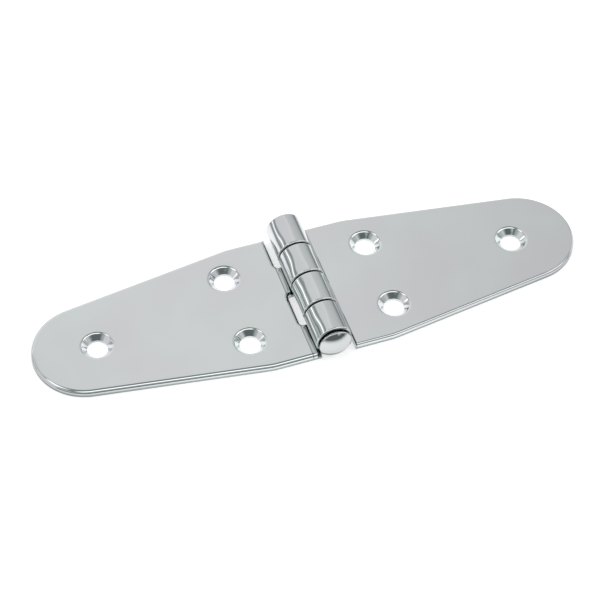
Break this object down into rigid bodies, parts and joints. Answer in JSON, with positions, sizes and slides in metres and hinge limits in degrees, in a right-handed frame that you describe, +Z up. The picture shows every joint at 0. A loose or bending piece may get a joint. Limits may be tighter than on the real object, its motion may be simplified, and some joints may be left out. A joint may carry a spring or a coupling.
{
  "type": "strap hinge",
  "caption": "Polished steel strap hinge: tapered round-tipped leaves with countersunk screw holes and rolled eyes, swinging on a headed pin.",
  "frame": {"origin": "in the plane of the leaves' undersides, straight below the middle of the pin", "axes": "+X along the right leaf towards its tip, +Y along the pin away from its head, +Z up out of the countersunk face"},
  "size_m": [0.14, 0.0412, 0.0091],
  "materials": {
    "polished_sheet": "polished",
    "pin_steel": "polished"
  },
  "bodies": {
    "left": {"left_leaf": "polished_sheet", "hinge_pin": "pin_steel"},
    "right": {"right_leaf": "polished_sheet"}
  },
  "joints": [
    {"name": "leaf_swing", "type": "hinge", "parent": "left", "child": "right", "pos_m": [0, 0, 0.00455], "axis": [0, -1, 0], "range_deg": [-90, 180]}
  ]
}
